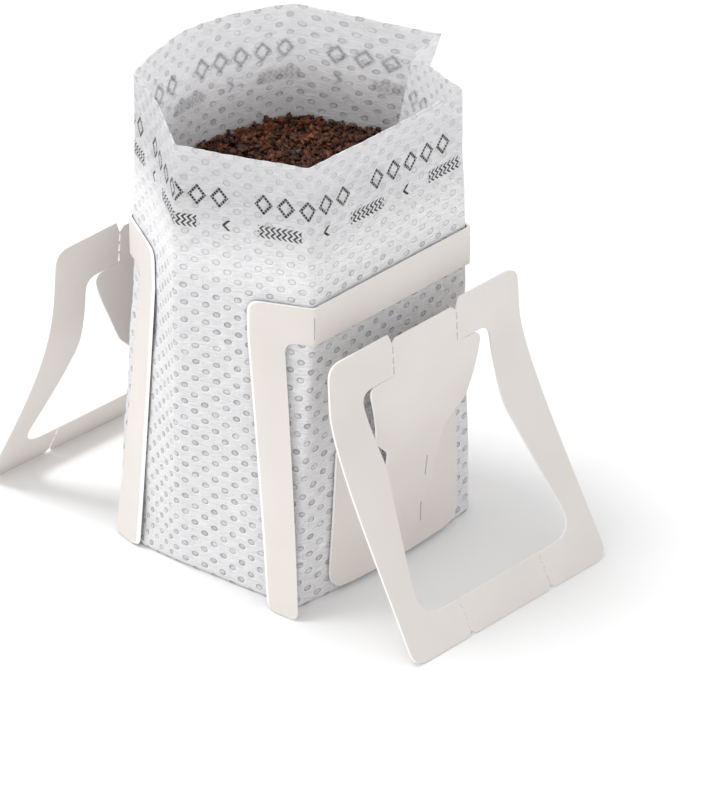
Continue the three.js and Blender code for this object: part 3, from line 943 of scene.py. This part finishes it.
fabricLook = {
    "paper": (0.97, 0.965, 0.98, 1),
    # the second ground colour is painted shade, used below the coffee's level where coffee lies behind the
    # wall
    "filled": (0.89, 0.885, 0.90, 1),
    "fibreShade": (0.72, 0.715, 0.73, 1),
    # the dots are painted grey for the shade seen through them: lightest above the coffee, darker on the
    # inner wall and darkest where coffee lies behind
    "dotShadeBelow": (0.60, 0.59, 0.60, 1),
    "dotShadeAbove": (0.89, 0.89, 0.90, 1),
    "dotShadeInside": (0.66, 0.655, 0.66, 1),
    # colour of the painted shade at the rim of each pressed dot
    "ring": (0.20, 0.19, 0.19, 1),
    # white of the painted highlights beside the dots, also used for the paler clouds of the fibre web
    "highlightAndCloud": (0.97, 0.97, 0.98, 1),
    "ink": (0.045, 0.045, 0.05, 1),
    "dotRadius": 0.47,
    "dotWander": (0.9, 0.7),
    "wanderScale": 9.0,
    "fibreScale": 190.0,
    "cloudScale": 34.0,
    "patchScale": 62.0,
    "levelWander": 8.0,
    "levelFade": (2.0, 4.0),  # above and below the coffee's level
    "fibreFade": (0.6, 0.36, 0.0, 0.55),
    "cloudFade": (0.55, 0.75, 0.0, 0.6),
    "patchFade": (0.34, 0.66, 0.2, 1.0),
    "rimShadeInside": 0.35,
    "rimShadeOpen": 0.1,
    "rimShadeFilled": 0.45,
    "rimShadeFade": 3.0,
    "highlightShare": 0.85,
    "inkInside": 0.12,
    "roughness": 0.7,
    "specular": 0.3,
    "fibreRelief": 0.9,
    "relief": (0.9, 0.0003),
    "glowWhite": 0.45,
    "glowRise": (1.0, 14.0),  # above the coffee's level
    "openTranslucence": 0.68,
    "filledTranslucence": 0.1,
}


def fabricMaterial(name, inside):
    look = fabricLook
    material, tree, shader, output = newMaterial(name)
    uv, across, up = flatPlace(tree)
    # dots that sit a little off their lattice, on a ground of fibres with painted shade where coffee lies
    # behind the wall
    drift = calc(tree, "SUBTRACT", noiseValue(tree, uv, look["wanderScale"]), 0.5)
    shaken = calc(tree, "ADD", across, calc(tree, "MULTIPLY", drift, look["dotWander"][0]))
    lifted = calc(tree, "ADD", up, calc(tree, "MULTIPLY", drift, look["dotWander"][1]))
    fibres = useGroup(tree, fibre, Vector=uv, Scale=look["fibreScale"])["Value"]
    cloud = noiseValue(tree, uv, look["cloudScale"], 3.0)
    patch = noiseValue(tree, uv, look["patchScale"], 1.0)
    spots = useGroup(tree, dots, Across=shaken, Up=lifted, Radius=look["dotRadius"])
    down = calc(tree, "SUBTRACT", bag["rimHeight"], up)
    marks = useGroup(tree, bands, Across=across, Down=down, Wear=fibres)["Mask"]
    brim = calc(tree, "ADD", coffee["level"], calc(tree, "MULTIPLY", drift, look["levelWander"]))
    above, below = look["levelFade"]
    # painted shade: the ground darkens below the coffee's level, where coffee lies behind the wall
    filled = ramp(tree, up, calc(tree, "ADD", brim, above), calc(tree, "SUBTRACT", brim, below))
    ground = blendColour(tree, filled, look["paper"], look["filled"])
    ground = blendColour(tree, ramp(tree, fibres, *look["fibreFade"]), ground, look["fibreShade"])
    # paler clouds of the fibre web, in the same white as the painted highlights
    ground = blendColour(tree, ramp(tree, cloud, *look["cloudFade"]), ground, look["highlightAndCloud"])
    # the dots in painted shade, their rims in deeper painted shade and painted highlights as crescents beside
    # them
    spot = blendColour(tree, filled, look["dotShadeInside" if inside else "dotShadeAbove"], look["dotShadeBelow"])
    strength = ramp(tree, patch, *look["patchFade"])
    colour = blendColour(tree, calc(tree, "MULTIPLY", spots["Mask"], strength), ground, spot)
    # painted shade at the dots' rims: faint above the coffee, deeper below it and on the inner wall
    rimShadeShare = look["rimShadeInside"]
    if not inside:
        under = calc(tree, "SUBTRACT", brim, look["rimShadeFade"])
        rimShadeShare = ramp(tree, up, brim, under, look["rimShadeOpen"], look["rimShadeFilled"])
    ring = calc(tree, "MULTIPLY", calc(tree, "MULTIPLY", spots["RimShade"], strength), rimShadeShare)
    colour = blendColour(tree, ring, colour, look["ring"])
    # painted highlight: a lit crescent beside each dot, always on the same side
    lit = calc(tree, "MULTIPLY", spots["PaintedHighlight"], look["highlightShare"])
    colour = blendColour(tree, lit, colour, look["highlightAndCloud"])
    printed = calc(tree, "MULTIPLY", marks, look["inkInside"] if inside else 1.0)
    colour = blendColour(tree, printed, colour, look["ink"])
    feed(tree, colour, shader.inputs["Base Color"])
    shader.inputs["Roughness"].default_value = look["roughness"]
    shader.inputs["Specular IOR Level"].default_value = look["specular"]
    relief = calc(tree, "SUBTRACT", calc(tree, "MULTIPLY", fibres, look["fibreRelief"]), spots["Mask"])
    normal = bump(tree, relief, *look["relief"])
    feed(tree, normal, shader.inputs["Normal"])
    # light comes through the wall above the coffee
    glow = tree.nodes.new("ShaderNodeBsdfTranslucent")
    pale = blendColour(tree, look["glowWhite"], colour, (1, 1, 1, 1))
    feed(tree, blendColour(tree, printed, pale, look["ink"]), glow.inputs["Color"])
    feed(tree, normal, glow.inputs["Normal"])
    both = tree.nodes.new("ShaderNodeMixShader")
    start, full = (coffee["level"] + rise for rise in look["glowRise"])
    through = ramp(tree, up, start, full, look["filledTranslucence"], look["openTranslucence"])
    feed(tree, through, both.inputs["Fac"])
    tree.links.new(shader.outputs[0], both.inputs[1])
    tree.links.new(glow.outputs[0], both.inputs[2])
    tree.links.new(both.outputs[0], output.inputs["Surface"])
    return material


boardLook = {
    "cloudScale": 7.0,
    "fibreScale": 90.0,
    "cloudFade": (0.3, 0.7),
    "roughness": (0.3, 0.7, 0.5, 0.62),
    "specular": 0.35,
    "reliefDepth": 0.0001,
}
boardSides = {
    "cardFace": {"colour": (0.745, 0.70, 0.67, 1), "shade": (0.715, 0.67, 0.635, 1), "relief": 0.12},
    "cardEdge": {"colour": (0.93, 0.92, 0.90, 1), "shade": (0.90, 0.885, 0.86, 1), "relief": 0.3},
}


def cardMaterial(name, side):
    look = boardLook
    material, tree, shader, _ = newMaterial(name)
    uv, _, _ = flatPlace(tree)
    cloud = ramp(tree, noiseValue(tree, uv, look["cloudScale"], 3.0), *look["cloudFade"])
    fibres = useGroup(tree, fibre, Vector=uv, Scale=look["fibreScale"])["Value"]
    feed(tree, blendColour(tree, cloud, side["colour"], side["shade"]), shader.inputs["Base Color"])
    feed(tree, ramp(tree, fibres, *look["roughness"]), shader.inputs["Roughness"])
    shader.inputs["Specular IOR Level"].default_value = look["specular"]
    feed(tree, bump(tree, fibres, side["relief"], look["reliefDepth"]), shader.inputs["Normal"])
    return material


coffeeLook = {
    "colour": (0.026, 0.007, 0.0025, 1),
    "lightColour": (0.30, 0.085, 0.024, 1),
    "toneScale": 900.0,
    "patchScale": 110.0,
    "toneFade": (0.4, 0.75),
    "patchFade": (0.35, 0.65, 0.35, 1.0),
    "paleGrains": (0.75, 1.0),  # the palest quarter of them gets more of the light colour
    "paleShare": 0.4,
    "roughness": 0.55,
    "specular": 0.4,
    "relief": (0.4, 0.0003),
}


def coffeeMaterial():
    look = coffeeLook
    material, tree, shader, _ = newMaterial("coffee")
    place = tree.nodes.new("ShaderNodeTexCoord").outputs["Object"]
    tone = noiseValue(tree, place, look["toneScale"], 3.0)
    patch = noiseValue(tree, place, look["patchScale"])
    grain = tree.nodes.new("ShaderNodeNewGeometry").outputs["Random Per Island"]
    share = calc(tree, "MULTIPLY", ramp(tree, tone, *look["toneFade"]), ramp(tree, patch, *look["patchFade"]))
    pale = calc(tree, "MULTIPLY", ramp(tree, grain, *look["paleGrains"]), look["paleShare"])
    share = calc(tree, "ADD", share, pale)
    feed(tree, blendColour(tree, share, look["colour"], look["lightColour"]), shader.inputs["Base Color"])
    shader.inputs["Roughness"].default_value = look["roughness"]
    shader.inputs["Specular IOR Level"].default_value = look["specular"]
    feed(tree, bump(tree, tone, *look["relief"]), shader.inputs["Normal"])
    return material


for name, inside in (("nonwovenOutside", False), ("nonwovenInside", True)):
    bagWall.data.materials.append(fabricMaterial(name, inside))
coffeeFinish = coffeeMaterial()
for thing in (coffeeHeap, coffeeGrains):
    thing.data.materials.append(coffeeFinish)
boardFinishes = [cardMaterial(name, side) for name, side in boardSides.items()]
for thing in cards.values():
    for finish in boardFinishes:
        thing.data.materials.append(finish)
print("materials made")


# Stage, camera and light

stage = {
    "floorSize": 6000.0,
    "floorColour": 0.94,
    "seenFloor": 0.86,
    "floorRoughness": 0.9,
    "skyLevel": 0.9,
    "lampTarget": (0, 0, 20),
    "keyPlace": (-260, 560, 1480),
    "keySize": 520,
    "keyPower": 11.0,
    "fillPlace": (-1400, 350, 450),
    "fillSize": 700,
    "fillPower": 2.2,
}


def floorMaterial():
    material, tree, shader, _ = newMaterial("floorWhite")
    ray = tree.nodes.new("ShaderNodeLightPath")
    colour = blendColour(tree, ray.outputs["Is Camera Ray"], (stage["floorColour"],) * 3 + (1,),
                         (stage["seenFloor"],) * 3 + (1,))
    feed(tree, colour, shader.inputs["Base Color"])
    shader.inputs["Roughness"].default_value = stage["floorRoughness"]
    shader.inputs["Specular IOR Level"].default_value = 0.0
    return material


def buildFloor():
    reach = stage["floorSize"] / 2
    corners = [(-reach, -reach, 0), (reach, -reach, 0), (reach, reach, 0), (-reach, reach, 0)]
    return meshObject("floor", corners, [(0, 1, 2, 3)], smooth=False)


floor = buildFloor()
floor.data.materials.append(floorMaterial())


def aimed(thing, place, target):
    thing.location = Vector(place) * millimetre
    thing.rotation_euler = (Vector(target) - Vector(place)).to_track_quat("-Z", "Y").to_euler()


def areaLamp(name, place, size, power):
    lamp = bpy.data.lights.new(name, "AREA")
    lamp.shape = "DISK"
    lamp.size = size * millimetre
    lamp.energy = power
    thing = bpy.data.objects.new(name, lamp)
    bpy.context.scene.collection.objects.link(thing)
    aimed(thing, place, stage["lampTarget"])


areaLamp("keyLamp", stage["keyPlace"], stage["keySize"], stage["keyPower"])
areaLamp("fillLamp", stage["fillPlace"], stage["fillSize"], stage["fillPower"])

world = bpy.data.worlds.new("softWhite")
world.use_nodes = True
sky = world.node_tree.nodes["Background"]
sky.inputs["Color"].default_value = (1, 1, 1, 1)
sky.inputs["Strength"].default_value = stage["skyLevel"]
bpy.context.scene.world = world

# Fitted to the photograph's view
view = {
    "place": (-562.116, -568.736, 534.678),
    "target": (0.612, -12.101, 24.473),
    "lens": 321.18,
    "sensor": 36,
    "clip": (50, 20000),
}
camera = bpy.data.cameras.new("photoCamera")
camera.sensor_fit = "HORIZONTAL"
camera.sensor_width = view["sensor"]
camera.lens = view["lens"]
camera.clip_start, camera.clip_end = (distance * millimetre for distance in view["clip"])
eye = bpy.data.objects.new("photoCamera", camera)
bpy.context.scene.collection.objects.link(eye)
aimed(eye, view["place"], view["target"])
bpy.context.scene.camera = eye
bpy.context.scene.view_settings.view_transform = "Standard"
print("stage set")
